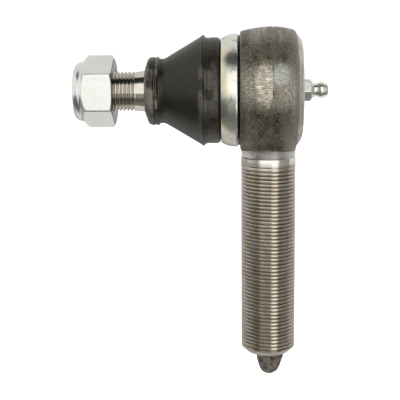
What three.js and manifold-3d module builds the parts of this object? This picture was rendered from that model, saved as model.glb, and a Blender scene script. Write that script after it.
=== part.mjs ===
// Tie rod end: a forged socket head on a threaded shank, holding a ball stud with its boot and lock nut.
// Millimetres, +Z up. The shank lies along Z and its threaded end face is at z = 0. The stud's axis is
// parallel to X through the ball centre: the stud points to -X and the grease nipple to +X.
import * as THREE from 'three';
import { mergeVertices } from 'three/addons/utils/BufferGeometryUtils.js';
import Module from 'manifold-3d';

const wasm = await Module();
wasm.setup();

// ---- driving dimensions ----
const BALL_HEIGHT = 108; // ball centre above the shank's end face
const BALL_RADIUS = 12;
const BALL_FLAT = 62; // degrees from the stud's axis to the edge of the flat on the ball's back
const GAP = 0.3; // running and assembly clearance

const SHANK_RADIUS = 11; // M22 x 1.5, left-hand
const SHANK_CHAMFER = 2.2;
const UNDERCUT = { low: -26.6, high: -24.6, depth: 0.35 }; // heights from the ball centre
const TIP = { length: 10.6, radius: 6.1, offset: 0.6 }; // forged nub below the threaded end

const HEAD = { left: -11.4, right: 11, crownAt: 2, crown: 24.95, leftRadius: 23.2, rightRadius: 24 };
const STEP = { left: -12.05, radius: 21.7 }; // what the boot's retaining ring stops against
const SPIGOT = { end: -16.7, radius: 19.3, mouth: 17 };
const BORE_RADIUS = 16.7;
const SHOULDER = { x: -7.6, radius: 13 };
const CAP = { left: 10, right: 12.1, radius: 17.4 };
const RIM = { end: 13.1, radius: 21, lip: 16.2 };

const THREAD_RADIUS = 7.85; // M16 x 1.5, right-hand
const STUD = { end: -76, threadEnd: -54.4, neck: 7.6, taperSmall: 8.2, taperLarge: 9.15 };
const NUT = { face: -61.2, end: -77.1, acrossFlats: 25, bore: THREAD_RADIUS + 0.5 };
const INSERT = { left: -75.6, right: -73.7, radius: 9.6 };

const BOOT = { lip: -48.9, neckEnd: -42, ridgeAt: -25.7, rimEnd: -17, bead: 13.3, ridge: 22, wall: 2.2 };
const CLIP = { at: -44.7, ringRadius: 12.35, wireRadius: 0.45 };
const RING = { left: -18.9, right: -12.1, inner: 19.6, outer: 22.35 };

const NIPPLE = { hexLeft: 12.4, hexRight: 17.1, acrossFlats: 8.2, neck: 2.65, head: 3.25, tip: 23.5 };
const CHECK = { ball: 1.2, passage: 1.6, seatEnd: 22.9, mouth: 0.8, springSeat: 14.2 };

// How far each hexagon is turned about the stud's axis from having a corner straight up, in degrees.
const HEX_TURN = { nut: -2, nipple: 35 };

// ---- materials ----
const finish = (color, roughness, metalness) =>
  new THREE.MeshStandardMaterial({ color, roughness, metalness });
const forgedSteel = () => finish(0x5c554d, 0.6, 0.8);
const machinedSteel = () => finish(0xb9b4aa, 0.3, 1);
const zincPlate = () => finish(0xc9ccc6, 0.32, 0.95);
const rubber = () => finish(0x2b2927, 0.75, 0);
const seatNylon = () => finish(0xd8d2bd, 0.55, 0);
const insertNylon = () => finish(0xe6e2d4, 0.5, 0);
const springSteel = () => finish(0x4a4a4c, 0.4, 0.9);

// ---- geometry helpers ----
// A profile is a list of [radius, height] points, walked upwards along its outer side.
function turned(profile, segments) {
  return new THREE.LatheGeometry(profile.map(([r, h]) => new THREE.Vector2(r, h)), segments);
}

const alongX = (profile, segments) => turned(profile, segments).rotateZ(-Math.PI / 2);
const alongZ = (profile, segments) => turned(profile, segments).rotateX(Math.PI / 2);

// Points on a circle about [radius, height] of the profile plane, between two angles in degrees
// measured from the profile's outward direction towards its upward direction.
function arc(centreRadius, centreHeight, radius, from, to, steps) {
  return Array.from({ length: steps + 1 }, (_, i) => {
    const angle = THREE.MathUtils.degToRad(from + ((to - from) * i) / steps);
    return [centreRadius + radius * Math.cos(angle), centreHeight + radius * Math.sin(angle)];
  });
}

const ring = (inner, outer, low, high) =>
  [[inner, low], [outer, low], [outer, high], [inner, high], [inner, low]];

function solid(geometry) {
  const bare = geometry.clone().deleteAttribute('normal').deleteAttribute('uv');
  const merged = mergeVertices(bare);
  return new wasm.Manifold(new wasm.Mesh({
    numProp: 3,
    vertProperties: new Float32Array(merged.attributes.position.array),
    triVerts: new Uint32Array(merged.index.array),
  }));
}

function fromSolid(manifold) {
  const mesh = manifold.getMesh();
  const geometry = new THREE.BufferGeometry();
  geometry.setAttribute('position', new THREE.BufferAttribute(mesh.vertProperties, 3));
  geometry.setIndex(new THREE.BufferAttribute(mesh.triVerts, 1));
  return geometry;
}

// A hexagonal prism along X from low to high, with a corner up, turned about X by some degrees.
function hexAlongX(acrossFlats, low, high, turn) {
  const corner = acrossFlats / Math.sqrt(3);
  return new THREE.CylinderGeometry(corner, corner, high - low, 6)
    .rotateZ(-Math.PI / 2)
    .rotateX(THREE.MathUtils.degToRad(turn))
    .translate((low + high) / 2, 0, 0);
}

// Where a circle of this radius, centred on the axis, reaches this radius in the profile plane.
const sphereHeight = (sphere, radius) => Math.sqrt(sphere ** 2 - radius ** 2);
const degrees = (radians) => THREE.MathUtils.radToDeg(radians);

// Round wire wound along X from low to high.
class Coil extends THREE.Curve {
  constructor(radius, low, high, turns) {
    super();
    Object.assign(this, { radius, low, high, turns });
  }
  getPoint(t, target = new THREE.Vector3()) {
    const angle = 2 * Math.PI * this.turns * t;
    return target.set(
      this.low + (this.high - this.low) * t,
      this.radius * Math.cos(angle),
      this.radius * Math.sin(angle),
    );
  }
}

// ---- the pieces, about the ball centre unless they say otherwise ----
function forgedHousing() {
  const round = 40;
  const { left, right, crownAt, crown, leftRadius, rightRadius } = HEAD;
  const crownSteps = 8;
  const crownLine = Array.from({ length: crownSteps + 1 }, (_, i) => {
    const x = left + 0.5 + ((right - 2.5 - left) * i) / crownSteps;
    const side = x < crownAt ? [leftRadius, left] : [rightRadius, right - 2];
    const reach = (x - crownAt) / (side[1] - crownAt);
    return [crown - (crown - side[0]) * reach ** 2, x];
  });
  const head = alongX([
    [SPIGOT.mouth, SPIGOT.end], [SPIGOT.radius, SPIGOT.end], [SPIGOT.radius, STEP.left],
    [STEP.radius, STEP.left], [STEP.radius, left], [leftRadius - 0.7, left],
    ...crownLine, [rightRadius - 0.5, right - 1.2],
    [rightRadius - 1.3, right - 0.3], [rightRadius - 2.4, right],
    [RIM.radius, right], [RIM.radius - 0.3, right + 0.9], [RIM.radius - 1, right + 1.6],
    [RIM.radius - 2.2, RIM.end], [RIM.lip, RIM.end],
    [RIM.lip, CAP.right + GAP], [CAP.radius + GAP, CAP.right + GAP],
    [CAP.radius + GAP, CAP.left - GAP], [BORE_RADIUS, CAP.left - GAP],
    [BORE_RADIUS, SHOULDER.x], [SHOULDER.radius, SHOULDER.x], [SPIGOT.mouth, SPIGOT.end],
  ], round);

  const end = -BALL_HEIGHT;
  const blend = 2.4; // fillet where the shank grows into the head
  const rootedAt = CAP.radius + 0.9; // the shank's root lies inside the head's wall
  const shank = alongZ([
    [0, end], [SHANK_RADIUS - SHANK_CHAMFER, end], [SHANK_RADIUS, end + SHANK_CHAMFER],
    [SHANK_RADIUS, UNDERCUT.low], [SHANK_RADIUS - UNDERCUT.depth, UNDERCUT.low + 0.5],
    [SHANK_RADIUS - UNDERCUT.depth, UNDERCUT.high], [SHANK_RADIUS + blend * 0.3, UNDERCUT.high + blend],
    [SHANK_RADIUS + blend * 0.3, -rootedAt], [0, -rootedAt],
  ], 32);
  const nub = alongZ([
    [0, -TIP.length], [0.34 * TIP.radius, 0.3 - TIP.length], [0.64 * TIP.radius, 1.8 - TIP.length],
    [0.82 * TIP.radius, 4.5 - TIP.length], [0.95 * TIP.radius, 7.4 - TIP.length],
    [TIP.radius, 0.5], [0, 0.5],
  ], 10).translate(TIP.offset, 0, end);
  return fromSolid(solid(head).add(solid(shank)).add(solid(nub)));
}

function ballStud() {
  const neckAngle = degrees(Math.acos(STUD.neck / BALL_RADIUS));
  return alongX([
    [0, STUD.end], [THREAD_RADIUS - 1.3, STUD.end], [THREAD_RADIUS, STUD.end + 1.3],
    [THREAD_RADIUS, STUD.threadEnd], [THREAD_RADIUS + 0.15, STUD.threadEnd + 0.2],
    [THREAD_RADIUS + 0.15, BOOT.lip - 2], [STUD.taperSmall, BOOT.lip], [STUD.taperLarge, -30],
    [STUD.taperLarge - 0.3, -26.5], [STUD.neck + 0.4, -19], [STUD.neck, -16],
    ...arc(0, 0, BALL_RADIUS, -neckAngle, 90 - BALL_FLAT, 10), [0, BALL_RADIUS * Math.cos(
      THREE.MathUtils.degToRad(BALL_FLAT))],
  ], 32);
}

// The bearing ring between the ball and the bore's shoulder, on the stud's side.
function frontSeat() {
  const cup = BALL_RADIUS + GAP;
  const left = SHOULDER.x + GAP;
  const cupStart = -5.8;
  const right = -0.4;
  const mouth = 12.6;
  const outer = BORE_RADIUS - GAP;
  const angleAt = (x) => degrees(Math.asin(x / cup));
  return alongX([
    [mouth, left], [outer, left], [outer, right],
    ...arc(0, 0, cup, angleAt(right), angleAt(cupStart), 4), [mouth, left],
  ], 32);
}

// The bearing ring behind the ball, pressed on it by the dished spring.
function rearSeat() {
  const cup = BALL_RADIUS + GAP;
  const low = 0.9;
  const high = 7;
  const outer = BORE_RADIUS - GAP;
  return alongX([
    [sphereHeight(cup, low), low], [outer, low], [outer, high],
    ...arc(0, 0, cup, degrees(Math.asin(high / cup)), degrees(Math.asin(low / cup)), 5),
  ], 32);
}

// A dished washer: its rim rests on the rear seat and its inner edge on the cap.
function preloadSpring() {
  const thickness = 0.9;
  const low = 7.35;
  const rise = 1.2;
  const rim = 16;
  const hole = 11;
  return alongX([
    [rim, low], [rim, low + thickness], [hole, low + thickness + rise], [hole, low + rise], [rim, low],
  ], 36);
}

function endCap() {
  const rebate = 1.1;
  return alongX([
    [4 + GAP, CAP.left], [RIM.lip - 0.1, CAP.left], [RIM.lip - 0.1, CAP.left + rebate],
    [CAP.radius, CAP.left + rebate], [CAP.radius, CAP.right], [4 + GAP, CAP.right], [4 + GAP, CAP.left],
  ], 36);
}

const capSealRing = () => alongX(ring(RIM.lip + 0.2, CAP.radius, CAP.left, CAP.left + 0.8), 36);

function nippleBody() {
  const { hexLeft, hexRight, neck, head, tip } = NIPPLE;
  const { passage, seatEnd, mouth, springSeat } = CHECK;
  const springHole = 1;
  const stem = alongX([
    [springHole, CAP.left + GAP], [4, CAP.left + GAP], [4, hexRight],
    [neck + 0.3, hexRight + 0.3], [neck, hexRight + 1.1], [neck, hexRight + 2.2],
    [head, hexRight + 3.3], [head, hexRight + 4], [head - 0.8, tip - 0.3], [mouth + 1.2, tip],
    [mouth, tip], [mouth, seatEnd], [passage, seatEnd - 1], [passage, springSeat],
    [springHole, springSeat], [springHole, CAP.left + GAP],
  ], 24);
  const chamfered = alongX([
    [3.6, hexLeft], [5, hexLeft], [5, hexRight - 1.3], [3.8, hexRight], [3.6, hexRight], [3.6, hexLeft],
  ], 24);
  const hex = solid(hexAlongX(NIPPLE.acrossFlats, hexLeft, hexRight, HEX_TURN.nipple));
  return fromSolid(solid(stem).add(hex.intersect(solid(chamfered))));
}

const nippleCheckBall = () =>
  new THREE.SphereGeometry(CHECK.ball, 16, 10).translate(CHECK.seatEnd - CHECK.ball, 0, 0);

function nippleCheckSpring() {
  const wire = 0.16;
  const section = new THREE.Shape().absarc(0, 0, wire, 0, 2 * Math.PI);
  const low = CHECK.springSeat + wire + 0.1;
  const high = CHECK.seatEnd - 2 * CHECK.ball - wire - 0.2;
  const path = new Coil(1.05, low, high, 6);
  return new THREE.ExtrudeGeometry(section, { extrudePath: path, steps: 48, curveSegments: 3 });
}

function dustBoot() {
  const { lip, neckEnd, ridgeAt, rimEnd, bead, ridge, wall } = BOOT;
  const groove = CLIP.wireRadius + GAP;
  const floor = CLIP.ringRadius - CLIP.wireRadius - GAP;
  const flange = SPIGOT.radius;
  const cylinder = RING.outer - 1.35;
  const inner = cylinder - wall;
  return alongX([
    [STUD.taperSmall + GAP, lip], [STUD.taperSmall + 1, lip], [STUD.taperSmall + 2.6, lip + 0.8],
    [STUD.taperSmall + 2.7, lip + 1.3], [bead - 0.5, lip + 1.4], [bead, lip + 2],
    [bead, CLIP.at - groove], [floor, CLIP.at - groove], [floor, CLIP.at + groove],
    [bead, CLIP.at + groove], [bead, neckEnd - 1.1], [bead - 0.5, neckEnd - 0.6],
    [bead - 0.5, neckEnd], [bead - 0.2, neckEnd + 1.3],
    [ridge - 0.7, ridgeAt - 1.6], [ridge, ridgeAt - 0.5], [ridge, ridgeAt], [cylinder, ridgeAt + 1],
    [cylinder, RING.left - GAP], [flange, RING.left - GAP], [flange, rimEnd],
    [flange - 1.5, rimEnd], [flange - 1.5, RING.left - 0.6], [inner, RING.left - 2.2],
    [ridge - wall, ridgeAt + 0.5], [ridge - wall - 0.3, ridgeAt - 1],
    [STUD.taperLarge + 1.5, neckEnd + 1.4], [STUD.taperLarge - 0.2, neckEnd - 0.2],
    [STUD.taperSmall + GAP, lip],
  ], 36);
}

const bootNeckClip = () => alongX(arc(CLIP.ringRadius, CLIP.at, CLIP.wireRadius, 0, 360, 6), 32);

function bootRetainingRing() {
  const { left, right, inner, outer } = RING;
  return alongX([
    [inner, left], [outer - 1.8, left], [outer - 1.4, left + 0.3], [outer - 0.6, left + 2.2],
    [outer - 0.1, left + 3.9], [outer, left + 5.2], [outer - 0.1, right - 0.6], [outer - 0.6, right],
    [inner, right], [inner, left],
  ], 40);
}

function lockNut() {
  const { face, end, acrossFlats, bore } = NUT;
  const flat = acrossFlats / 2;
  const corner = acrossFlats / Math.sqrt(3);
  const outline = alongX([
    [0, end], [flat - 3, end], [flat - 1.7, end + 0.5], [flat - 0.8, end + 1.5],
    [flat - 0.3, end + 3], [flat + 1.1, end + 4.6], [corner + 0.1, end + 6.9],
    [corner + 0.1, face - 1], [flat + 0.6, face], [0, face],
  ], 36);
  const pocket = INSERT.radius + GAP;
  const hollow = alongX([
    [0, end - 1], [pocket - 1, end - 1], [pocket - 1, INSERT.left - GAP], [pocket, INSERT.left - GAP],
    [pocket, INSERT.right + GAP], [bore, INSERT.right + GAP + 0.4], [bore, face - 0.7],
    [bore + 0.8, face + 0.1], [0, face + 0.1],
  ], 32);
  const hex = solid(hexAlongX(acrossFlats, end - 1, face + 1, HEX_TURN.nut));
  return fromSolid(hex.intersect(solid(outline)).subtract(solid(hollow)));
}

const nutNylonInsert = () => alongX(ring(NUT.bore, INSERT.radius, INSERT.left, INSERT.right), 36);

// ---- assembly ----
const pieces = [
  ['forged_housing', forgedHousing, forgedSteel],
  ['ball_stud', ballStud, machinedSteel],
  ['front_ball_seat', frontSeat, seatNylon],
  ['rear_ball_seat', rearSeat, seatNylon],
  ['preload_disc_spring', preloadSpring, springSteel],
  ['end_cap', endCap, zincPlate],
  ['cap_seal_ring', capSealRing, rubber],
  ['grease_nipple_body', nippleBody, zincPlate],
  ['nipple_check_ball', nippleCheckBall, machinedSteel],
  ['nipple_check_spring', nippleCheckSpring, springSteel],
  ['dust_boot', dustBoot, rubber],
  ['boot_neck_clip', bootNeckClip, springSteel],
  ['boot_retaining_ring', bootRetainingRing, zincPlate],
  ['lock_nut', lockNut, zincPlate],
  ['nut_nylon_insert', nutNylonInsert, insertNylon],
];

const tieRodEnd = new THREE.Group();
const aboutBall = new THREE.Group();
aboutBall.position.z = BALL_HEIGHT;
tieRodEnd.add(aboutBall);
for (const [name, shape, material] of pieces) {
  const mesh = new THREE.Mesh(shape(), material());
  mesh.name = name;
  aboutBall.add(mesh);
}

export default tieRodEnd;
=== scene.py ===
import math

import bpy
import bmesh
import numpy as np
from mathutils import Matrix, Vector


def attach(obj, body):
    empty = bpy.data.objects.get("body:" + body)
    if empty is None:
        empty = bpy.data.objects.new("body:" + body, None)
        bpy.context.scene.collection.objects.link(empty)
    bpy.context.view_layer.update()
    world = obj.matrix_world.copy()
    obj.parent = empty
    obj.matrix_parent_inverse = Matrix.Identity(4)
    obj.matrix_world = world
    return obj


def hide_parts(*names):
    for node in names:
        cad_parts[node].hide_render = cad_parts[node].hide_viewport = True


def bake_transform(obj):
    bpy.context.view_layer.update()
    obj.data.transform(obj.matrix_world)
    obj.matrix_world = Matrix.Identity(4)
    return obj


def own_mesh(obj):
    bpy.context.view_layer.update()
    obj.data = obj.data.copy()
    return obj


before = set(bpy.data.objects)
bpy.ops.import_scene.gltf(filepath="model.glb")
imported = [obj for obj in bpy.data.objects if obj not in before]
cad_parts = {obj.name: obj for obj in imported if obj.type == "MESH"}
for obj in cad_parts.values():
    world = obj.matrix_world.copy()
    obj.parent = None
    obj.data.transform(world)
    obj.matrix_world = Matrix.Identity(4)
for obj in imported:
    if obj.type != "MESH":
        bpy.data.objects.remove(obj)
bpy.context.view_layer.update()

# Shapes are in millimetres about the ball centre: the stud points to -X, the shank to -Z.
MM = 0.001
BALL_HEIGHT = 108
TAU = 2 * math.pi

SHANK_RADIUS = 11
SHANK_PITCH = 1.5
SHANK_END = -BALL_HEIGHT
THREAD_TOP = -29.3
STUD_RADIUS = 7.85
STUD_PITCH = 1.5
STUD_END = -76
STUD_THREAD_END = -51.6
NUT_FACE = -61.2
NUT_END = -77.1
NUT_FLATS = 25
NUT_TURN = -2  # degrees from having a corner straight up
NIPPLE_FLATS = 8.2
NIPPLE_TURN = 35  # likewise
HEAD_LEFT = -11.4
HEAD_RIGHT = 11
SHOULDER = -12.05  # the narrow step behind the retaining ring
ROOT_RADIUS = 11.3  # the neck where it meets the barrel
PARTING, PARTING_DRIFT = 0.85, 0.8  # the parting line's x, and how far it moves over on its way down
BALL_RADIUS = 12
SHANK_FACE = 8.7  # the radius that the shank's chamfer leaves of its end face
STUD_FACE = 6.5
THREAD_DEPTH = 0.45  # of the pitch


# ---- numbers ----
def smooth(low, high, x):
    t = np.clip((x - low) / (high - low), 0, 1)
    return t * t * (3 - 2 * t)


def lattice(cell, seed):
    """A steady pseudo-random value from -1 to 1 for each whole-number cell."""
    i, j, k = (cell[:, n].astype(np.int64) for n in range(3))
    h = (i * 73856093) ^ (j * 19349663) ^ (k * 83492791) ^ (seed * 2654435761)
    h = (h ^ (h >> 13)) * 1274126177 & 0xFFFFFFFF
    return ((h ^ (h >> 16)) & 0xFFFF) / 32767.5 - 1


def noise(points, size, seed=1):
    """Smooth value noise over points, with bumps about this size across."""
    p = np.asarray(points, float) / size
    base = np.floor(p)
    f = p - base
    f = f * f * (3 - 2 * f)
    total = np.zeros(len(p))
    for corner in np.ndindex(2, 2, 2):
        weight = np.prod(np.where(np.array(corner) == 1, f, 1 - f), axis=1)
        total += weight * lattice(base + corner, seed)
    return total


# ---- outlines ----
def filleted(points, steps=4):
    """A closed outline of [radius, height, fillet] corners, with each corner rounded by its fillet."""
    out = []
    count = len(points)
    for n, point in enumerate(points):
        here = np.array(point[:2], float)
        size = point[2] if len(point) > 2 else 0
        before = np.array(points[n - 1][:2], float) - here
        after = np.array(points[(n + 1) % count][:2], float) - here
        lengths = np.linalg.norm(before), np.linalg.norm(after)
        if size <= 0 or min(lengths) < 1e-6:
            out.append(here)
            continue
        before, after = before / lengths[0], after / lengths[1]
        reach = min(size, 0.48 * lengths[0], 0.48 * lengths[1])
        start, end = here + before * reach, here + after * reach
        for t in np.linspace(0, 1, steps + 1):
            out.append((1 - t) ** 2 * start + 2 * t * (1 - t) * here + t ** 2 * end)
    return np.array(out)


def divided(outline, step, closed=True):
    """The outline with no side longer than step. An open one stops just short of its last point."""
    out = []
    for a, b in zip(outline, np.roll(outline, -1, axis=0) if closed else outline[1:]):
        pieces = max(1, math.ceil(np.linalg.norm(b - a) / step))
        out += [a + (b - a) * k / pieces for k in range(pieces)]
    return np.array(out)


# ---- meshes ----
def to_x(radius, angle, height):
    """Round the stud's axis. Angle 0 faces the front and a quarter turn faces up."""
    return np.stack([height, -radius * np.cos(angle), radius * np.sin(angle)], axis=-1)


def to_z(radius, angle, height):
    """Round the shank's axis. Angle 0 faces the front and a quarter turn faces the nipple's side."""
    return np.stack([radius * np.sin(angle), -radius * np.cos(angle), height], axis=-1)


def grid_faces(rows, columns, closed):
    """Faces of a grid of points whose last column repeats its first. In a closed one the last row meets the
    first."""
    faces = []
    for i in range(rows if closed else rows - 1):
        a, b = i * columns, ((i + 1) % rows) * columns
        faces += [(a + j, a + j + 1, b + j + 1, b + j) for j in range(columns - 1)]
    return faces


def turned(outline, segments, place=to_x, closed=True):
    """The outline swept round an axis: points and faces."""
    angles = np.linspace(0, TAU, segments + 1)
    radius = np.repeat(outline[:, 0:1], segments + 1, axis=1)
    height = np.repeat(outline[:, 1:2], segments + 1, axis=1)
    points = place(radius, angles[None, :], height).reshape(-1, 3)
    return points, grid_faces(len(outline), segments + 1, closed)


def pushed_out(points, rise):
    """Points moved away from the stud's axis by rise."""
    radius = np.hypot(points[:, 1], points[:, 2])
    outward = np.stack([0 * radius, points[:, 1] / radius, points[:, 2] / radius], axis=1)
    return points + outward * rise[:, None]


def joined(*parts):
    """Several shapes as one."""
    points, faces, offset = [], [], 0
    for p, f in parts:
        points.append(p)
        faces += [tuple(v + offset for v in face) for face in f]
        offset += len(p)
    return np.vstack(points), faces


def threaded(place, segments, low, high, pitch, hand, surface, run_out, crest, root):
    """A thread's outside from low to high. surface gives the bar's radius at a height, hand is 1 or -1,
    the groove fades over run_out, which is (at low, at high), and crest and root are widths as shares of
    the pitch."""
    half, foot = crest / 2, root / 2
    # along the pitch and into the groove: the crest's shoulder, the flank and the root's corner
    side = [[0.74 * half, 0.001], [0.84 * half, 0.006], [half, 0.06],
            [0.5 - foot, 0.94], [0.5 - 0.6 * foot, 0.99]]
    profile = np.array([[0, 0], *side, [0.5, 1], *([1 - at, depth] for at, depth in reversed(side))])
    turns = math.ceil((high - low) / pitch) + 3
    angles = np.linspace(0, TAU, segments + 1)
    start = (np.arange(turns)[:, None] - 1.5 + profile[None, :, 0]).reshape(-1) * pitch + low
    depth = np.tile(profile[:, 1], turns) * THREAD_DEPTH * pitch
    height = np.clip(start[:, None] + hand * pitch * angles[None, :] / TAU, low, high)
    fade = np.ones_like(height)
    if run_out[0]:
        fade *= smooth(low, low + run_out[0], height)
    if run_out[1]:
        fade *= smooth(high, high - run_out[1], height)
    bare = np.max(surface(np.linspace(low, high, 9)))
    radius = np.minimum(surface(height), bare - depth[:, None] * fade)
    points = place(radius, angles[None, :], height).reshape(-1, 3)
    return points, grid_faces(len(start), segments + 1, False)


def piece(name, shape, material, body, stands_for=(), sharp=38):
    """An object made of one shape, with its edges left crisp where they turn by more than sharp degrees."""
    points, faces = shape
    mesh = bpy.data.meshes.new(name)
    where = (np.asarray(points, float) + [0, 0, BALL_HEIGHT]) * MM
    mesh.from_pydata(where.tolist(), [], faces)
    work = bmesh.new()
    work.from_mesh(mesh)
    bmesh.ops.remove_doubles(work, verts=work.verts, dist=2e-6)
    bmesh.ops.dissolve_degenerate(work, dist=1e-7, edges=work.edges)
    bmesh.ops.recalc_face_normals(work, faces=work.faces)
    for face in work.faces:
        face.smooth = True
    for edge in work.edges:
        if len(edge.link_faces) == 2 and edge.calc_face_angle(0) > math.radians(sharp):
            edge.smooth = False
    work.to_mesh(mesh)
    work.free()
    mesh.materials.append(material)
    obj = bpy.data.objects.new(name, mesh)
    bpy.context.scene.collection.objects.link(obj)
    if body:
        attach(obj, body)
    if stands_for:
        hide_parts(*stands_for)
    return obj


# ---- materials ----
class Finish:
    """A Principled material built up from procedural patterns in the object's own millimetres."""

    def __init__(self, name, metallic, roughness, **sockets):
        self.material = bpy.data.materials.new(name)
        self.material.use_nodes = True
        self.tree = self.material.node_tree
        self.shader = next(n for n in self.tree.nodes if n.type == "BSDF_PRINCIPLED")
        self.shader.inputs["Metallic"].default_value = metallic
        self.shader.inputs["Roughness"].default_value = roughness
        for key, value in sockets.items():
            self.shader.inputs[key.replace("_", " ")].default_value = value
        coordinates = self.node("ShaderNodeTexCoord")
        about_ball = self.node("ShaderNodeVectorMath", operation="SUBTRACT")
        about_ball.inputs[1].default_value = (0, 0, BALL_HEIGHT * MM)
        self.link(coordinates.outputs["Object"], about_ball.inputs[0])
        scaled = self.node("ShaderNodeVectorMath", operation="SCALE")
        scaled.inputs["Scale"].default_value = 1 / MM
        self.link(about_ball.outputs[0], scaled.inputs[0])
        self.place = scaled.outputs[0]
        split = self.node("ShaderNodeSeparateXYZ")
        self.link(self.place, split.inputs[0])
        self.x, self.y, self.z = split.outputs[0], split.outputs[1], split.outputs[2]
        self.normal = None

    def node(self, kind, **settings):
        made = self.tree.nodes.new(kind)
        for key, value in settings.items():
            setattr(made, key, value)
        return made

    def link(self, a, b):
        self.tree.links.new(a, b)

    def put(self, value, socket):
        """Set a socket to a number or colour, or link it to another node's output."""
        if isinstance(value, (int, float, tuple)):
            socket.default_value = value
        else:
            self.link(value, socket)

    def math(self, operation, a, b=0.0):
        made = self.node("ShaderNodeMath", operation=operation)
        for value, socket in zip((a, b), made.inputs):
            self.put(value, socket)
        return made.outputs[0]

    def stretched(self, factors):
        made = self.node("ShaderNodeVectorMath", operation="MULTIPLY")
        self.link(self.place, made.inputs[0])
        made.inputs[1].default_value = factors
        return made.outputs[0]

    def noise(self, size, stretch=(1, 1, 1), detail=3.0, rough=0.55, distortion=0.0):
        """Cloudy pattern from about 0.3 to 0.7, with features of this size in millimetres."""
        made = self.node("ShaderNodeTexNoise")
        self.link(self.stretched(tuple(s / size for s in stretch)), made.inputs["Vector"])
        made.inputs["Scale"].default_value = 1
        made.inputs["Detail"].default_value = detail
        made.inputs["Roughness"].default_value = rough
        made.inputs["Distortion"].default_value = distortion
        return made.outputs["Fac"]

    def cells(self, size):
        """Distance from scattered points about this far apart."""
        made = self.node("ShaderNodeTexVoronoi")
        self.link(self.stretched((1 / size, 1 / size, 1 / size)), made.inputs["Vector"])
        made.inputs["Scale"].default_value = 1
        return made.outputs["Distance"]

    def band(self, value, low, high):
        """0 below low to 1 above high, smoothly; the other way round if low is the larger."""
        made = self.node("ShaderNodeMapRange", interpolation_type="SMOOTHSTEP")
        self.put(value, made.inputs["Value"])
        flip = low > high
        made.inputs["From Min"].default_value = min(low, high)
        made.inputs["From Max"].default_value = max(low, high)
        made.inputs["To Min"].default_value = 1.0 if flip else 0.0
        made.inputs["To Max"].default_value = 0.0 if flip else 1.0
        return made.outputs["Result"]

    def times(self, *values):
        """All the values multiplied."""
        total = values[0]
        for value in values[1:]:
            total = self.math("MULTIPLY", total, value)
        return total

    def spot(self, centre, radii, edge, ragged, size):
        """1 inside an upright ellipse of x and z on the front, made ragged by noise of this size, else 0."""
        dx = self.math("DIVIDE", self.math("SUBTRACT", self.x, float(centre[0])), float(radii[0]))
        dz = self.math("DIVIDE", self.math("SUBTRACT", self.z, float(centre[1])), float(radii[1]))
        reach = self.math("ADD", self.math("POWER", self.math("ABSOLUTE", dx), 2.0),
                          self.math("POWER", self.math("ABSOLUTE", dz), 2.0))
        uneven = self.math("SUBTRACT", self.noise(size, detail=4.0), 0.5)
        reach = self.math("ADD", reach, self.math("MULTIPLY", uneven, ragged))
        return self.times(self.band(reach, 1 + edge, 1 - edge), self.band(self.y, 0.0, -2.0))

    def mix(self, amount, a, b):
        """The colour a turned into b by amount."""
        made = self.node("ShaderNodeMix", data_type="RGBA")
        self.put(amount, made.inputs["Factor"])
        for value, socket in ((a, made.inputs[6]), (b, made.inputs[7])):
            self.put((*value, 1.0) if isinstance(value, tuple) else value, socket)
        return made.outputs[2]

    def number(self, amount, a, b):
        """From a to b by amount."""
        made = self.node("ShaderNodeMapRange")
        self.put(amount, made.inputs["Value"])
        made.inputs["To Min"].default_value = a
        made.inputs["To Max"].default_value = b
        return made.outputs["Result"]

    def bump(self, height, millimetres, strength=1.0):
        """Relief of this height, on top of any earlier relief."""
        made = self.node("ShaderNodeBump")
        made.inputs["Distance"].default_value = millimetres * MM
        made.inputs["Strength"].default_value = strength
        self.link(height, made.inputs["Height"])
        if self.normal is not None:
            self.link(self.normal, made.inputs["Normal"])
        self.normal = made.outputs[0]

    def done(self, color, roughness):
        self.link(color, self.shader.inputs["Base Color"])
        self.link(roughness, self.shader.inputs["Roughness"])
        self.link(self.normal, self.shader.inputs["Normal"])
        return self.material


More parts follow.
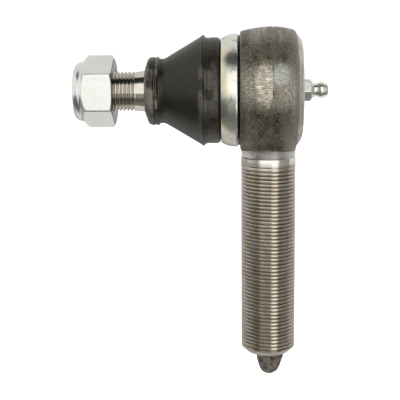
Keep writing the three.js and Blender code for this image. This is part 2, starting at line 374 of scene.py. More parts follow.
def forged_skin():
    """Dark scaled forging, pitted, ground beside the parting line, and paler on its front: rubbed wear and a
    painted highlight.
    """
    f = Finish("forged skin", 0.92, 0.4)
    # brown scale in clouds, with lighter flow lines, rust and bright grains, and dark pits
    cloud = f.band(f.noise(5, detail=5.0), 0.35, 0.65)
    flow = f.band(f.noise(2.4, (1, 0.14, 0.14), detail=4.0), 0.40, 0.60)
    fine = f.noise(0.8, detail=5.0, rough=0.72)
    color = f.mix(cloud, (0.070, 0.056, 0.036), (0.170, 0.146, 0.108))
    color = f.mix(f.times(flow, 0.75), color, (0.225, 0.196, 0.148))
    color = f.mix(f.times(f.band(f.noise(3.4, detail=3.0), 0.55, 0.70), 0.5), color, (0.135, 0.100, 0.058))
    color = f.mix(f.times(f.band(fine, 0.54, 0.62), 0.65), color, (0.42, 0.385, 0.31))
    dark = f.band(f.cells(1.9), 0.30, 0.12)
    color = f.mix(f.times(dark, 0.7), color, (0.025, 0.020, 0.014))
    # paler on the front: rubbed wear and a painted highlight where the window's reflection falls
    wear_and_sheen = f.spot((0, 3.0), (13, 8.5), edge=0.7, ragged=1.2, size=3.0)
    wear_and_sheen = f.times(wear_and_sheen, f.number(f.noise(1.3, detail=4.0), 0.1, 0.75))
    color = f.mix(wear_and_sheen, color, (0.44, 0.405, 0.335))
    # the strip ground smooth on the nut's side of the parting line
    line = f.math("ADD", f.math("MULTIPLY", f.band(f.z, -4.0, -24.0), PARTING_DRIFT), PARTING)
    ground = f.times(f.spot((-1.8, 3.9), (3.6, 7.6), edge=0.55, ragged=1.9, size=1.4),
                     f.band(f.math("SUBTRACT", f.x, line), 0.05, -0.15))
    scratches = f.noise(0.6, (0.12, 1, 1.5), detail=3.0, rough=0.7)
    worn = f.number(f.band(f.noise(1.9, detail=4.0), 0.36, 0.60), 0.35, 1.0)
    cream = f.mix(f.band(scratches, 0.40, 0.60), (0.44, 0.39, 0.29), (0.94, 0.90, 0.76))
    color = f.mix(f.times(ground, worn), color, cream)
    # a painted reflection: the cool pale patch on the nipple's side
    painted_cool_reflection = f.spot((4.0, 7.7), (3.2, 3.9), edge=0.6, ragged=1.7, size=1.5)
    color = f.mix(f.times(painted_cool_reflection, f.number(f.noise(0.9, detail=4.0), 0.1, 1.2)), color, (0.62, 0.65, 0.60))
    # lighter towards the rim and darker towards the ring, with a painted sheen along the top and bright
    # specks, gathered on the front into painted glints
    color = f.mix(f.times(f.band(f.x, 4.0, 10.0), 0.42), color, (0.42, 0.39, 0.33))
    color = f.mix(f.times(f.band(f.x, -7.0, -11.0), 0.25), color, (0.07, 0.06, 0.045))
    # painted sheen along the barrel's top
    painted_top_sheen = f.times(f.band(f.z, 17.0, 22.5), f.number(flow, 0.3, 0.95))
    color = f.mix(painted_top_sheen, color, (0.36, 0.335, 0.29))
    speck = f.band(f.cells(0.60), 0.34, 0.14)
    # painted glints: the specks' two clusters on the front
    painted_glint_clusters = f.math("MAXIMUM", f.spot((-7.9, 4.8), (3.0, 5.0), edge=0.7, ragged=1.8, size=1.2),
                     f.spot((7.4, 1.0), (3.0, 7.5), edge=0.7, ragged=1.6, size=1.4))
    color = f.mix(f.times(speck, f.number(painted_glint_clusters, 0.15, 0.85)), color, (0.92, 0.89, 0.81))
    # a painted highlight on the edge by the ring, and painted shade in the step's corner
    # painted highlight along the edge by the ring
    edge = f.times(f.band(f.x, HEAD_LEFT + 0.5, HEAD_LEFT + 0.2), 0.35)
    color = f.mix(edge, color, (0.42, 0.40, 0.35))
    # painted shade: near black in the step's corner
    corner = f.band(f.x, HEAD_LEFT + 0.06, HEAD_LEFT - 0.02)
    color = f.mix(corner, color, (0.012, 0.010, 0.007))
    f.bump(f.noise(3.2, detail=4.0), 0.45, 0.5)
    f.bump(fine, 0.28, 0.9)
    f.bump(f.band(f.cells(1.9), 0.05, 0.30), 0.20, 0.6)
    rough = f.number(ground, 0.38, 0.33)
    rough = f.math("SUBTRACT", rough, f.times(f.band(fine, 0.5, 0.7), 0.10))
    return f.done(color, rough)


def neck_skin():
    """The blasted neck below the barrel, with the forging's scale left in front and its sides lightened by a
    painted reflection.
    """
    f = Finish("blasted neck", 1.0, 0.42)
    cloud = f.band(f.noise(3, detail=5.0), 0.35, 0.65)
    tone = f.mix(cloud, (0.56, 0.54, 0.50), (0.44, 0.41, 0.37))
    # painted reflection: the neck lighter at its sides
    side = f.math("ABSOLUTE", f.math("ADD", f.x, f.number(f.noise(3.0, detail=3.0), -1.2, 1.2)))
    tone = f.mix(f.band(side, 4.0, 8.0), tone, (0.93, 0.91, 0.87))
    tone = f.mix(f.times(f.band(f.cells(1.2), 0.22, 0.08), 0.5), tone, (0.16, 0.14, 0.11))
    f.bump(f.noise(0.7, (0.2, 0.2, 2.5), detail=3.0), 0.03, 0.6)
    f.bump(f.noise(0.9, detail=5.0), 0.05, 0.7)
    return f.done(tone, f.number(f.noise(1.8, detail=4.0), 0.36, 0.50))


def turned_steel(name, color, stain, across, roughness,
                 lines=0.5, stains=0.5, plain_band_from=None, groove=None, groove_grime_and_shade=0.0):
    """Bright steel with fine turning lines square to the axis named by across ("x" or "z"), plain above a
    given height with painted shade on its -x side and a painted highlight on its +x side, and with the given
    share of grime and painted shade in a thread's grooves, which are under the groove radius."""
    f = Finish(name, 1.0, roughness)
    along = (6, 0.10, 0.10) if across == "x" else (0.10, 0.10, 6)
    stripes = f.noise(1.0, along, detail=2.0, rough=0.6)
    cloud = f.band(f.noise(4, detail=5.0), 0.38, 0.66)
    tone = f.mix(cloud, color, stain)
    tone = f.mix(f.times(f.band(f.cells(2.6), 0.16, 0.06), stains), tone, (0.10, 0.08, 0.06))
    if plain_band_from is not None:
        # the plain band: painted shade on its -x side, painted highlight on its +x side
        painted_band_tone = f.mix(f.band(f.x, -5.0, -2.5), (0.44, 0.40, 0.345), (0.84, 0.81, 0.75))
        tone = f.mix(f.band(f.z, plain_band_from - 0.5, plain_band_from + 0.3), tone, painted_band_tone)
    if groove is not None:
        side = f.z if across == "x" else f.x
        radius = f.math("SQRT", f.math("ADD", f.math("POWER", side, 2.0), f.math("POWER", f.y, 2.0)))
        uneven = f.band(f.noise(2.0, detail=4.0), 0.35, 0.65)
        # grime and painted shade in the thread's grooves
        grime_shade_color = f.mix(uneven, (0.10, 0.082, 0.052), (0.21, 0.18, 0.13))
        tone = f.mix(f.times(f.band(radius, groove, groove - 0.25), groove_grime_and_shade), tone, grime_shade_color)
    f.bump(stripes, 0.02 * lines, 0.6)
    f.bump(f.noise(0.5, detail=4.0), 0.012, 0.5)
    return f.done(tone, f.number(f.noise(2.4, detail=4.0), roughness - 0.05, roughness + 0.09))


def zinc(name, color, tint, roughness, mottle, seat=None, grain=1.0, straw=None):
    """Passivated zinc plate: satin and faintly greenish, tinted straw left of x = straw, a yellow passivate
    stain and a painted reflection, with painted shade low down as well, and darker at a bearing face at x =
    seat."""
    f = Finish(name, 1.0, roughness)
    cloud = f.band(f.noise(6, detail=3.0), 0.38, 0.64)
    tone = f.mix(cloud, color, tint)
    tone = f.mix(f.times(f.band(f.noise(3.2, detail=4.0, distortion=1.2), 0.54, 0.68), mottle), tone,
                 (0.40, 0.45, 0.42))
    tone = f.mix(f.times(f.band(f.cells(1.7), 0.12, 0.04), 0.2 * mottle), tone, (0.22, 0.23, 0.21))
    if straw is not None:
        # straw tint: a yellow passivate stain and a painted reflection
        streaks = f.band(f.noise(2.2, (1, 0.2, 0.2), detail=4.0), 0.36, 0.58)
        tone = f.mix(f.times(f.band(f.x, straw + 2.4, straw - 1.0), streaks), tone, (0.88, 0.80, 0.58))
        # painted shade: darker low down, in streaks
        low = f.times(f.band(f.z, -12.0, -18.0), f.number(f.noise(1.4, (1, 0.4, 0.4), detail=4.0), 0.1, 1.2))
        tone = f.mix(low, tone, (0.46, 0.455, 0.39))
    if seat is not None:
        tone = f.mix(f.band(f.x, seat - 0.35, seat - 0.1), tone, (0.17, 0.185, 0.175))
    f.bump(f.noise(1.5, detail=5.0), 0.05 * grain, 0.5)
    f.bump(f.noise(0.35, detail=3.0), 0.012 * grain, 0.6)
    return f.done(tone, f.number(f.noise(1.8, detail=5.0), roughness - 0.06, roughness + 0.10))


def rubber_skin():
    """Moulded rubber, dusty, and paler at mid height on its proud parts, the neck's bead and the straight
    wall: rubbed wear and a painted sheen.
    """
    f = Finish("boot rubber", 0.0, 0.3, Specular_IOR_Level=0.5, Specular_Tint=(1.0, 0.96, 0.80, 1.0))
    cloud = f.band(f.noise(7, detail=5.0), 0.35, 0.65)
    tone = f.mix(cloud, (0.0046, 0.0038, 0.0022), (0.0082, 0.0068, 0.0044))
    dust = f.band(f.noise(0.8, detail=5.0, rough=0.7), 0.56, 0.70)
    tone = f.mix(f.times(dust, 0.3), tone, (0.045, 0.040, 0.032))
    # the proud parts' rubbed wear and painted sheen, strongest at mid height
    cylinder = f.times(f.band(f.x, -27.6, -26.9), f.band(f.x, -19.4, -20.2), f.band(f.z, 15.0, 8.0))
    proud_sheen_mask = f.math("MAXIMUM", f.band(f.x, -43.0, -43.8), cylinder)
    proud_sheen_mask = f.times(proud_sheen_mask, f.number(f.band(f.z, -10.0, -3.0), 0.25, 1.0))
    streaks = f.number(f.noise(2.6, (1, 0.3, 0.3), detail=4.0), 0.0, 1.3)
    wear_and_sheen = f.times(proud_sheen_mask, streaks, f.band(f.noise(5), 0.36, 0.56))
    pale = f.mix(f.band(f.x, -40.0, -42.0), (0.070, 0.065, 0.056), (0.175, 0.162, 0.140))
    tone = f.mix(wear_and_sheen, tone, pale)
    scuff = f.times(f.band(f.noise(0.6, (0.10, 1, 1.6), detail=2.0), 0.68, 0.74), 0.7)
    tone = f.mix(scuff, tone, (0.10, 0.085, 0.065))
    f.bump(f.noise(2.4, detail=4.0), 0.10, 0.5)
    f.bump(f.noise(0.4, detail=4.0), 0.03, 0.6)
    return f.done(tone, f.number(f.noise(1.6, detail=4.0), 0.26, 0.46))


def torn_steel():
    """The rough dark stub left where the forging was cropped."""
    f = Finish("torn forging", 0.6, 0.55)
    cloud = f.band(f.noise(1.8, detail=5.0), 0.40, 0.62)
    tone = f.mix(cloud, (0.060, 0.048, 0.038), (0.19, 0.165, 0.135))
    f.bump(f.noise(1.1, detail=5.0, rough=0.65), 0.5, 0.8)
    return f.done(tone, f.number(f.noise(0.9), 0.42, 0.68))


def nylon(name, color, shade):
    """Moulded nylon, faintly cloudy."""
    f = Finish(name, 0.0, 0.45, Specular_IOR_Level=0.5)
    tone = f.mix(f.band(f.noise(3, detail=4.0), 0.35, 0.65), color, shade)
    f.bump(f.noise(0.7, detail=3.0), 0.03, 0.5)
    return f.done(tone, f.number(f.noise(1.2), 0.38, 0.55))


FORGED = forged_skin()
SHANK_STEEL = turned_steel("rolled shank steel", (0.61, 0.555, 0.475), (0.51, 0.445, 0.345), "z", 0.13,
                           lines=0.12, stains=0.1, plain_band_from=-29.0, groove=SHANK_RADIUS - 0.12, groove_grime_and_shade=0.42)
NECK_STEEL = neck_skin()
RIM_STEEL = turned_steel("turned rim steel", (0.72, 0.69, 0.62), (0.56, 0.51, 0.44), "x", 0.34,
                         lines=1.0)
STUD_STEEL = turned_steel("stud steel", (0.72, 0.69, 0.61), (0.66, 0.61, 0.52), "x", 0.09,
                          lines=0.2, stains=0.2, groove=STUD_RADIUS - 0.1, groove_grime_and_shade=0.42)
NUT_ZINC = zinc("nut zinc plate", (0.86, 0.87, 0.84), (0.84, 0.84, 0.77), 0.26, 0.12,
                seat=NUT_FACE, grain=0.3)
RING_ZINC = zinc("ring zinc plate", (0.90, 0.90, 0.83), (0.80, 0.83, 0.74), 0.25, 0.8,
                 grain=0.3, straw=-16.0)
NIPPLE_ZINC = zinc("nipple zinc plate", (0.96, 0.97, 0.93), (0.90, 0.92, 0.82), 0.22, 0.1)
CAP_ZINC = zinc("cap zinc plate", (0.70, 0.71, 0.66), (0.60, 0.60, 0.54), 0.34, 0.5)
RUBBER = rubber_skin()
TORN = torn_steel()
SPRING = turned_steel("spring steel", (0.24, 0.24, 0.25), (0.17, 0.165, 0.16), "x", 0.32)
BALL_STEEL = turned_steel("lapped steel", (0.70, 0.69, 0.67), (0.64, 0.62, 0.58), "x", 0.12,
                          lines=0.2)
SEAT_NYLON = nylon("seat nylon", (0.58, 0.52, 0.38), (0.50, 0.44, 0.31))
INSERT_NYLON = nylon("insert nylon", (0.76, 0.75, 0.68), (0.68, 0.66, 0.57))


# ---- the forging ----
def crown_line(count):
    """The barrel's outside, from the nut's side to the nipple's side: a parabola each way from its widest."""
    widest, middle = 24.95, 2
    line = []
    for x in np.linspace(HEAD_LEFT + 0.5, HEAD_RIGHT - 1.9, count):
        side, end = (23.2, HEAD_LEFT) if x < middle else (24.0, HEAD_RIGHT - 2)
        line.append([widest - (widest - side) * ((x - middle) / (end - middle)) ** 2, x])
    return line


def forging():
    """The barrel: bored for the ball, rough outside, with its parting line and the flat ground beside it."""
    outline = filleted([
        [17, -16.7, 0.2], [19.3, -16.7, 0.3], [19.3, SHOULDER, 0], [21.7, SHOULDER, 0.15],
        [21.7, HEAD_LEFT, 0], [22.5, HEAD_LEFT, 0.3],
        *crown_line(60), [23.55, HEAD_RIGHT - 0.9, 1.2], [22.2, HEAD_RIGHT, 0.6], [17.8, HEAD_RIGHT, 0],
        [17.8, 9.7, 0], [16.7, 9.7, 0], [16.7, -7.6, 0.4], [13, -7.6, 0.3],
    ], 5)
    points, faces = turned(divided(outline, 0.36), 400)
    x = points[:, 0]
    skin = smooth(21.6, 22.6, np.hypot(points[:, 1], points[:, 2]))
    rise = 0.10 * noise(points, 7, 3) + 0.06 * noise(points, 2.6, 4) + 0.035 * noise(points, 1.0, 5)
    pits = np.clip(noise(points, 1.5, 6) - 0.45, 0, 1) * np.clip(noise(points, 6, 7) + 0.5, 0, 1)
    rise = rise - 0.30 * pits
    # the parting line: a ground flash on the nut's side and a shallow step beside it
    line = PARTING + PARTING_DRIFT * smooth(-4, -24, points[:, 2]) + 0.12 * noise(points, 5, 8)
    rise = rise + 0.16 * smooth(-1.6, -0.1, x - line) * smooth(0.25, 0.0, x - line)
    rise = rise - 0.14 * smooth(0.0, 0.3, x - line) * smooth(1.0, 0.3, x - line)
    # the flat ground on the front beside it
    flat = smooth(1.5, 0.6, np.hypot((x + 1.6) / 4.0, (points[:, 2] - 3.9) / 8.2))
    flat = flat * smooth(0.9, 0.5, x - line + PARTING) * (points[:, 1] < 0)
    rise = rise * (1 - 0.8 * flat) - 0.16 * flat
    points = pushed_out(points, rise * skin)
    # the fillet where the barrel meets the shank's root
    fillet = 1.2
    beyond = np.hypot(points[:, 0], points[:, 1]) - ROOT_RADIUS
    near = np.clip(fillet - beyond, 0, fillet)
    drop = fillet - np.sqrt(np.clip(fillet ** 2 - near ** 2, 0, None))
    below = (points[:, 2] < 0) & (skin > 0)
    points[:, 2] -= np.where(below, 0.5 * drop * skin, 0)
    return points, faces


def rolled_rim():
    """The lip rolled over the end cap, with its turning steps."""
    return turned(filleted([
        [16.2, 12.5, 0.15], [16.2, 13.1, 0.3], [18.6, 13.12, 0.5], [19.0, 12.95, 0.2], [19.9, 12.7, 0.5],
        [20.6, 12.15, 0.3], [20.75, 11.85, 0.1], [21.35, 11.7, 0.3], [21.9, 11.2, 0.3], [22.05, 10.7, 0],
        [17.9, 10.7, 0], [17.9, 12.5, 0.1],
    ], 4), 288)


def shank():
    """The left-hand thread, its end face and chamfer, the plain band and the relief."""
    segments = 144

    def bar(height):
        return np.minimum(SHANK_RADIUS, SHANK_FACE + (height - SHANK_END) * 1.02)

    thread = threaded(to_z, segments, SHANK_END, THREAD_TOP, SHANK_PITCH, hand=-1, surface=bar,
                      run_out=(0, 3.2), crest=0.52, root=0.08)
    top = np.array([
        [SHANK_RADIUS, THREAD_TOP], [SHANK_RADIUS, -28.2], [SHANK_RADIUS, -26.75], [10.96, -26.62],
        [10.86, -26.52], [10.5, -26.46], [10.5, -18.6], [0, -18.6],
    ])
    end = np.array([
        [SHANK_FACE, SHANK_END], [8.3, SHANK_END], [7.0, SHANK_END - 0.15], [0, SHANK_END - 0.15],
    ])
    return joined(thread, *(turned(part, segments, to_z, closed=False) for part in (top, end)))


def neck():
    """The plain forged and blasted root between the thread's relief and the barrel."""
    outline = divided(np.array([
        [10.4, -26.4], [10.62, -26.38], [10.72, -26.2], [10.76, -25.6], [10.86, -24.4], [11.02, -23.4],
        [ROOT_RADIUS, -22.6], [ROOT_RADIUS, -18.8], [10.4, -18.8],
    ]), 0.3)
    points, faces = turned(outline, 200, to_z)
    away = points * [1, 1, 0]
    size = np.hypot(away[:, 0], away[:, 1])
    rise = (0.06 * noise(points, 3, 14) + 0.03 * noise(points, 1.1, 15)) * smooth(-26.4, -25.9, points[:, 2])
    return points + away / size[:, None] * rise[:, None], faces


def tip():
    """The cropped stub below the shank: a rough cone with a few flats."""
    top, length, width = SHANK_END + 0.3, 10.9, 6.05
    depth = np.linspace(0, 1, 46)
    radius = width * np.sqrt(np.clip(1 - depth ** 2.6, 0, 1)) * (1 - 0.10 * depth)
    outline = np.vstack([[0, top], np.column_stack([radius, top - length * depth])])
    points, faces = turned(outline[::-1], 120, to_z)
    away = points.copy()
    away[:, 2] = 0
    size = np.maximum(np.hypot(away[:, 0], away[:, 1]), 1e-6)
    angle = np.arctan2(away[:, 0], -away[:, 1])
    low = smooth(SHANK_END, SHANK_END - 1.2, points[:, 2])
    rough = 0.34 * noise(points, 2.4, 11) + 0.16 * noise(points, 1.0, 12)
    flats = 0.30 * np.abs(np.cos(2.5 * angle + 0.5))
    change = (rough - flats) * low * smooth(0.4, 3.0, size)
    points = points + away / size[:, None] * change[:, None]
    # the shallow scoop high on the front
    scoop = np.exp(-((points[:, 0] + 0.1) / 1.7) ** 2 - ((points[:, 2] - SHANK_END + 1.6) / 1.5) ** 2)
    points[:, 1] += np.where(points[:, 1] < 0, 1.1 * scoop, 0)
    points[:, 0] += 0.6 + 0.25 * noise(points, 5, 13) * low
    return points, faces


piece("housing_forging", forging(), FORGED, "housing", ("forged_housing",), sharp=50)
piece("housing_rolled_rim", rolled_rim(), RIM_STEEL, "housing")
piece("housing_shank", shank(), SHANK_STEEL, "housing", sharp=60)
piece("housing_neck", neck(), NECK_STEEL, "housing")
piece("housing_cropped_tip", tip(), TORN, "housing", sharp=70)


# ---- the cap and its nipple ----
def cap():
    """The pressed disc, dished between its middle and its edge."""
    return turned(filleted([
        [4.3, 10, 0], [16.1, 10, 0], [16.1, 11.1, 0], [17.4, 11.1, 0.1], [17.4, 12.1, 0.1], [15.3, 12.1, 0.2],
        [14.7, 11.75, 0.3], [7.2, 11.75, 0.4], [6.4, 12.1, 0.3], [4.3, 12.1, 0.15],
    ], 4), 192)


def hexagon(flats, angle, turn, crisp):
    """Distance from the axis to a hexagon's side at an angle. A larger crisp makes sharper corners."""
    total = np.zeros_like(angle)
    for k in range(6):
        side = math.radians(90 - turn + 30 + 60 * k)
        total += np.clip(np.cos(angle - side), 0, None) ** crisp
    return flats / 2 / total ** (1 / crisp)


def softly_least(a, b, softness):
    """The smaller of two, blended where they are about equal."""
    return -softness * np.logaddexp(-a / softness, -b / softness)


def hexagonal(outline, flats, turn, crisp, softness, segments, inside):
    """A bar turned to the outline and cut to a hexagon, closed by the inside outline."""
    angles = np.linspace(0, TAU, segments + 1)
    wide = hexagon(flats, angles, turn, crisp)[None, :]
    radius = softly_least(outline[:, 0:1], wide, softness)
    height = np.repeat(outline[:, 1:2], segments + 1, axis=1)
    outer = to_x(radius, angles[None, :], height).reshape(-1, 3)
    inner, _ = turned(inside, segments)
    return np.vstack([outer, inner]), grid_faces(len(outline) + len(inside), segments + 1, True)


def nipple():
    """The grease nipple: its hexagon, its waisted head with the bore, and the root that sits in the cap."""
    envelope = divided(np.array([
        [3.9, 12.3], [4.6, 12.5], [5.2, 12.9], [5.2, 15.7], [4.75, 16.2], [4.0, 16.9], [3.6, 17.15],
    ]), 0.12, closed=False)
    inside = np.array([[2.2, 17.15], [2.2, 12.3]])
    hexagon_part = hexagonal(envelope, NIPPLE_FLATS, NIPPLE_TURN, crisp=90, softness=0.05, segments=180,
                             inside=inside)
    stem = turned(filleted([
        [2.0, 16.9, 0], [3.5, 16.9, 0.1], [3.15, 17.35, 0.5], [2.72, 18.0, 0.7], [2.62, 19.2, 0.9],
        [3.28, 20.55, 0.35], [3.26, 21.15, 0.5], [2.55, 23.15, 0.3], [2.1, 23.5, 0.2], [0.8, 23.5, 0.1],
        [0.8, 22.9, 0], [1.6, 22.0, 0], [1.6, 17.0, 0],
    ], 5), 96)
    root = turned(filleted([
        [1.0, 10.3, 0], [3.9, 10.3, 0], [3.9, 12.35, 0], [1.0, 12.35, 0]], 1), 64)
    return joined(hexagon_part, stem, root)


piece("housing_end_cap", cap(), CAP_ZINC, "housing", ("end_cap",))
piece("housing_grease_nipple", nipple(), NIPPLE_ZINC, "housing",
      ("grease_nipple_body",), sharp=32)


# ---- the boot, its ring and its clip ----
def retaining_ring():
    """The flared sheet ring that clamps the boot's rim against the step."""
    shape = filleted([
        [19.6, -18.9, 0.1], [20.4, -18.9, 0.2], [20.85, -18.6, 0.3], [21.45, -17.4, 0.8],
        [21.95, -16.1, 1.0], [22.22, -14.7, 1.0], [22.35, -13.0, 0.5], [22.25, -12.4, 0.2],
        [21.95, -12.1, 0.15], [19.6, -12.1, 0.1],
    ], 5)
    points, faces = turned(divided(shape, 0.5), 288)
    skin = smooth(20.2, 21.0, np.hypot(points[:, 1], points[:, 2]))
    return pushed_out(points, 0.05 * noise(points, 6, 21) * skin), faces


def boot():
    """The neck bead with the clip's groove, the cone, the shoulder bead, the straight wall and the rim."""
    lip, cylinder = -48.9, 21.0
    outline = filleted([
        [8.5, lip, 0.2], [9.6, lip, 0.4], [10.4, -48.6, 0.3], [10.9, -48.2, 0.25], [11.6, -48.15, 0.4],
        [13.0, -47.6, 0.8], [13.5, -46.6, 0.6], [13.55, -45.3, 0.25], [13.3, -45.1, 0.1],
        [13.0, -45.02, 0.1], [13.0, -44.55, 0.1], [13.3, -44.48, 0.1], [13.6, -44.3, 0.25],
        [13.6, -43.6, 0.25], [12.95, -43.3, 0.25], [12.78, -42.6, 0.3], [12.75, -41.6, 0.5],
        [13.1, -40.7, 0.5], [20.9, -27.5, 0.5], [21.6, -26.4, 0.3], [22.0, -26.0, 0.2],
        [21.95, -25.55, 0.25], [21.15, -25.05, 0.35], [cylinder, -24.2, 0.3], [20.72, -23.9, 0.15],
        [20.95, -23.5, 0.3],
        [cylinder, -20.4, 0.5], [20.55, -19.35, 0.4], [20.0, -19.15, 0.2], [19.35, -19.15, 0],
        [19.35, -17.0, 0.2], [17.8, -17.0, 0.2], [17.8, -19.4, 0.4], [18.8, -21.1, 0.5], [19.8, -25.2, 0.5],
        [19.5, -26.7, 0.6], [10.65, -40.6, 0.8], [8.95, -42.2, 0.6],
    ], 5)
    points, faces = turned(divided(outline, 0.7), 256)
    wave = 0.09 * noise(points, 9, 31) + 0.03 * noise(points, 2.5, 32)
    wave *= smooth(-48, -46, points[:, 0]) * smooth(-19, -21, points[:, 0])
    return pushed_out(points, wave), faces


def coil(radius, wire, low, high, turns, start, steps=220, sides=10):
    """A wire of this radius wound round the stud's axis from low to high, beginning at the start angle."""
    t = np.linspace(0, 1, steps)
    angle = t * turns * TAU + start
    centre = low + (high - low) * t
    points = []
    for k in range(sides):
        around = TAU * k / sides
        points.append(to_x(radius + wire * math.cos(around), angle, centre + wire * math.sin(around)))
    points = np.stack(points, axis=1).reshape(-1, 3)
    faces = []
    for i in range(steps - 1):
        for k in range(sides):
            a, b = i * sides, (i + 1) * sides
            faces.append((a + k, a + (k + 1) % sides, b + (k + 1) % sides, b + k))
    faces += [tuple(range(sides)), tuple((steps - 1) * sides + k for k in reversed(range(sides)))]
    return points, faces


piece("boot_ring", retaining_ring(), RING_ZINC, "housing", ("boot_retaining_ring",))
boot_piece = piece("boot_skin", boot(), RUBBER, None, ("dust_boot",), sharp=40)
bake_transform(boot_piece)
piece("boot_clip_wire", coil(13.16, 0.14, -44.84, -44.72, turns=1.08, start=2.4),
      SPRING, "boot_neck", ("boot_neck_clip",))


# ---- the stud ----
def stud():
    """The right-hand thread, the plain and tapered shaft, the ball with its flat, and the dimpled end."""
    segments = 128
    waist = 7.6  # the stud's radius behind the ball
    waist_angle, flat_angle = -math.acos(waist / BALL_RADIUS), math.radians(28)

    def bar(height):
        return np.minimum(STUD_RADIUS, STUD_FACE + (height - STUD_END))

    thread = threaded(to_x, segments, STUD_END, STUD_THREAD_END, STUD_PITCH, hand=1, surface=bar,
                      run_out=(0, 2.6), crest=0.26, root=0.26)
    angles = np.linspace(waist_angle, flat_angle, 26)
    ball = np.column_stack([BALL_RADIUS * np.cos(angles), BALL_RADIUS * np.sin(angles)])
    shape = np.array([
        [STUD_RADIUS, STUD_THREAD_END], [7.90, -51.2], [8.0, -50.6], [8.2, -48.9], [9.15, -30],
        [8.95, -26.5], [8.4, -22], [8.0, -19], [7.7, -16], [waist, -12], *ball,
        [0, BALL_RADIUS * math.sin(flat_angle)],
    ])
    end = np.array([
        [STUD_FACE, STUD_END], [5.9, STUD_END - 0.12], [2.2, STUD_END - 0.12],
        [1.5, STUD_END + 1.2], [0, STUD_END + 2.0],
    ])
    return joined(thread, *(turned(part, segments, closed=False) for part in (shape, end)))


piece("stud_bar", stud(), STUD_STEEL, "stud", ("ball_stud",), sharp=60)


# ---- the nut ----
def nut():
    """The hexagon with chamfered ends and the round crimped collar that holds the insert."""
    envelope = divided(np.array([
        [9.5, NUT_END], [10.2, -76.98], [10.75, -76.6], [11.3, -75.9], [11.62, -75.2], [11.75, -74.6],
        [11.62, -74.25], [11.72, -74.0], [12.1, -73.5], [12.5, -73.1], [13.4, -72.5], [14.2, -71.8],
        [14.75, -70.3], [14.9, -69.0], [14.9, -62.6], [14.5, -62.1], [13.2, -61.45], [12.6, -61.25],
        [12.2, NUT_FACE],
    ]), 0.28, closed=False)
    inside = np.array([
        [9.0, NUT_FACE], [8.45, -61.8], [8.4, -73.2], [9.9, -73.35], [9.9, -76.0], [9.35, -76.15],
        [8.95, -76.35], [8.85, -76.7], [9.0, -77.0],
    ])
    return hexagonal(envelope, NUT_FLATS, NUT_TURN, crisp=110, softness=0.10, segments=360, inside=inside)


def insert():
    """The nylon ring in the collar."""
    return turned(filleted([
        [8.35, -75.6, 0.25], [9.6, -75.6, 0.15], [9.6, -73.7, 0.1], [8.35, -73.7, 0.2]], 4), 128)


piece("nut_body", nut(), NUT_ZINC, "nut", ("lock_nut",), sharp=30)
piece("nut_insert_ring", insert(), INSERT_NYLON, "nut_insert", ("nut_nylon_insert",))

# ---- inside: two springs, each with its own copy of its mesh ----
disc_spring = piece("inside_disc_spring", turned(filleted([
    [16, 7.35, 0.2], [16, 8.25, 0.2], [11, 9.45, 0.2], [11, 8.55, 0.2]], 4), 160),
    SPRING, "housing", ("preload_disc_spring",))
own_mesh(disc_spring)
check_spring = piece(
    "inside_check_spring", coil(1.05, 0.16, 14.46, 20.14, turns=6, start=0.0, steps=300, sides=8),
    SPRING, "housing", ("nipple_check_spring",))
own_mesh(check_spring)

# These four keep the shape they come with.
for node, material in (
    ("front_ball_seat", SEAT_NYLON), ("rear_ball_seat", SEAT_NYLON), ("cap_seal_ring", RUBBER),
    ("nipple_check_ball", BALL_STEEL),
):
    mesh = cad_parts[node].data
    mesh.materials.clear()
    mesh.materials.append(material)

# ---- floor ----
floor_mesh = bpy.data.meshes.new("floor")
reach, floor_height = 14.0, -0.45
floor_mesh.from_pydata([(-reach, -reach, floor_height), (reach, -reach, floor_height),
                        (reach, reach, floor_height), (-reach, reach, floor_height)], [], [(0, 1, 2, 3)])
floor = bpy.data.objects.new("floor", floor_mesh)
bpy.context.scene.collection.objects.link(floor)
paper = bpy.data.materials.new("white paper")
paper.use_nodes = True
paper_shader = next(n for n in paper.node_tree.nodes if n.type == "BSDF_PRINCIPLED")
paper_shader.inputs["Base Color"].default_value = (0.9, 0.9, 0.9, 1)
paper_shader.inputs["Roughness"].default_value = 0.9
paper_shader.inputs["Emission Color"].default_value = (1, 1, 1, 1)
paper_shader.inputs["Emission Strength"].default_value = 0.85
floor_mesh.materials.append(paper)
floor.visible_glossy = False

# ---- studio: a light surround, a dim front, and one broad soft window of light round the camera ----
world = bpy.data.worlds.new("studio")
bpy.context.scene.world = world
world.use_nodes = True
nodes, links = world.node_tree.nodes, world.node_tree.links
nodes.clear()


def new(kind, **settings):
    made = nodes.new(kind)
    for key, value in settings.items():
        setattr(made, key, value)
    return made


def calc(operation, a, b=0.0):
    made = new("ShaderNodeMath", operation=operation)
    for value, socket in zip((a, b), made.inputs):
        if isinstance(value, float):
            socket.default_value = value
        else:
            links.new(value, socket)
    return made.outputs[0]


def ramp(value, stops):
    """Colours at positions from 0 to 1."""
    made = new("ShaderNodeValToRGB")
    elements = made.color_ramp.elements
    while len(elements) < len(stops):
        elements.new(1.0)
    for element, (position, color) in zip(elements, stops):
        element.position = position
        element.color = (*color, 1.0)
    links.new(value, made.inputs[0])
    return made.outputs[0]


def blend_colors(amount, a, b):
    made = new("ShaderNodeMix", data_type="RGBA")
    links.new(amount, made.inputs["Factor"])
    links.new(a, made.inputs[6])
    links.new(b, made.inputs[7])
    return made.outputs[2]


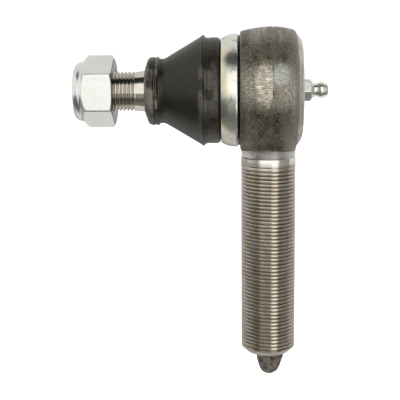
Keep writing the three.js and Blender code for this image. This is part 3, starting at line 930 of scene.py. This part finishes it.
FULL = 2.6  # the brightness that a ramp colour of 1 stands for
direction = new("ShaderNodeTexCoord").outputs["Generated"]
axes = new("ShaderNodeSeparateXYZ")
links.new(direction, axes.inputs[0])
side, away, up = axes.outputs[0], axes.outputs[1], axes.outputs[2]
front = calc("MULTIPLY", away, -1.0)
turn = calc("ARCTAN2", side, front)
turn_share = calc("ADD", calc("DIVIDE", turn, TAU), 0.5)
rise_share = calc("ADD", calc("DIVIDE", calc("ARCSINE", up), math.pi), 0.5)


def at_turn(degrees):
    return degrees / 360 + 0.5


def at_rise(degrees):
    return degrees / 180 + 0.5


def grey(value):
    return (value / FULL,) * 3


SURROUND = 0.76  # the grey at the sides and behind
# the window's greys by turn from straight in front: its upper part, then its lower part
above = ramp(turn_share, [
    (at_turn(-105), grey(SURROUND)), (at_turn(-90), grey(1.1)), (at_turn(-48), grey(0.66)),
    (at_turn(-34), grey(1.22)), (at_turn(36), grey(1.22)), (at_turn(48), grey(0.34)),
    (at_turn(92), grey(0.30)), (at_turn(105), grey(SURROUND)),
])
below = ramp(turn_share, [
    (at_turn(-108), grey(0.36)), (at_turn(-90), grey(0.11)), (at_turn(-40), grey(0.11)),
    (at_turn(-32), grey(0.36)), (at_turn(9), grey(0.26)), (at_turn(17), grey(1.5)),
    (at_turn(35), grey(1.5)), (at_turn(43), grey(0.34)), (at_turn(92), grey(0.25)),
    (at_turn(108), grey(0.42)),
])
# the lower part ends just under the horizon
lift = ramp(rise_share, [(at_rise(-11), (0, 0, 0)), (at_rise(-8), (1, 1, 1))])
window_colors = blend_colors(lift, below, above)
# the dim front above and below the window, and where it gives way to the surround
dim_front = ramp(rise_share, [
    (at_rise(-65), grey(0.20)), (at_rise(-35), grey(0.07)), (at_rise(40), grey(0.03)),
])
surround = ramp(calc("ADD", calc("MULTIPLY", front, 0.5), 0.5), [(0.46, (1, 1, 1)), (0.51, (0, 0, 0))])
around = new("ShaderNodeMix", data_type="RGBA")
links.new(surround, around.inputs["Factor"])
links.new(dim_front, around.inputs[6])
around.inputs[7].default_value = (*grey(SURROUND), 1)
# the window's soft lower and upper edges
window = ramp(rise_share, [
    (at_rise(-45), (0, 0, 0)), (at_rise(-28), (1, 1, 1)), (at_rise(41), (1, 1, 1)), (at_rise(53), (0, 0, 0)),
])
studio = blend_colors(window, around.outputs[2], window_colors)
# the metal reflects the studio, and behind the part there is white
dim = new("ShaderNodeBackground")
dim.inputs["Strength"].default_value = FULL
links.new(studio, dim.inputs["Color"])
white = new("ShaderNodeBackground")
white.inputs["Color"].default_value = (1, 1, 1, 1)
white.inputs["Strength"].default_value = 1.05
seen = new("ShaderNodeLightPath").outputs["Is Camera Ray"]
choose = new("ShaderNodeMixShader")
links.new(seen, choose.inputs[0])
links.new(dim.outputs[0], choose.inputs[1])
links.new(white.outputs[0], choose.inputs[2])
links.new(choose.outputs[0], new("ShaderNodeOutputWorld").inputs[0])


def softbox(name, place, target, size, power):
    """A soft rectangular lamp that is never seen itself, not even in a reflection."""
    light = bpy.data.lights.new(name, "AREA")
    light.shape = "RECTANGLE"
    light.size, light.size_y = size
    light.energy = power
    made = bpy.data.objects.new(name, light)
    made.location = place
    made.rotation_euler = (Vector(target) - Vector(place)).to_track_quat("-Z", "Y").to_euler()
    made.visible_glossy = False
    made.visible_camera = False
    bpy.context.scene.collection.objects.link(made)


softbox("front softbox", (-0.25, -1.0, 0.55), (-0.02, 0, 0.08), (0.7, 0.7), 4)
softbox("top softbox", (0.1, 0.25, 1.1), (0, 0, 0.1), (0.9, 0.6), 2.5)

# ---- camera ----
TURN, RISE, ROLL = math.radians(2.3), math.radians(10.9), math.radians(-0.62)
DISTANCE = 0.393
AIM = Vector((-0.02775, 0, 0.0636))
back = Vector((math.sin(TURN) * math.cos(RISE), -math.cos(TURN) * math.cos(RISE), math.sin(RISE)))
level = Vector((math.cos(TURN), math.sin(TURN), 0))
overhead = back.cross(level)
right = level * math.cos(ROLL) + overhead * math.sin(ROLL)
upright = overhead * math.cos(ROLL) - level * math.sin(ROLL)
camera_data = bpy.data.cameras.new("camera")
camera_data.sensor_width = 36
camera_data.lens = 86.76
camera_data.clip_end = 100
camera = bpy.data.objects.new("camera", camera_data)
stand = AIM + back * DISTANCE
camera.matrix_world = Matrix((
    (right.x, upright.x, back.x, stand.x), (right.y, upright.y, back.y, stand.y),
    (right.z, upright.z, back.z, stand.z), (0, 0, 0, 1)))
bpy.context.scene.collection.objects.link(camera)
bpy.context.scene.camera = camera
bpy.context.scene.view_settings.view_transform = "Standard"
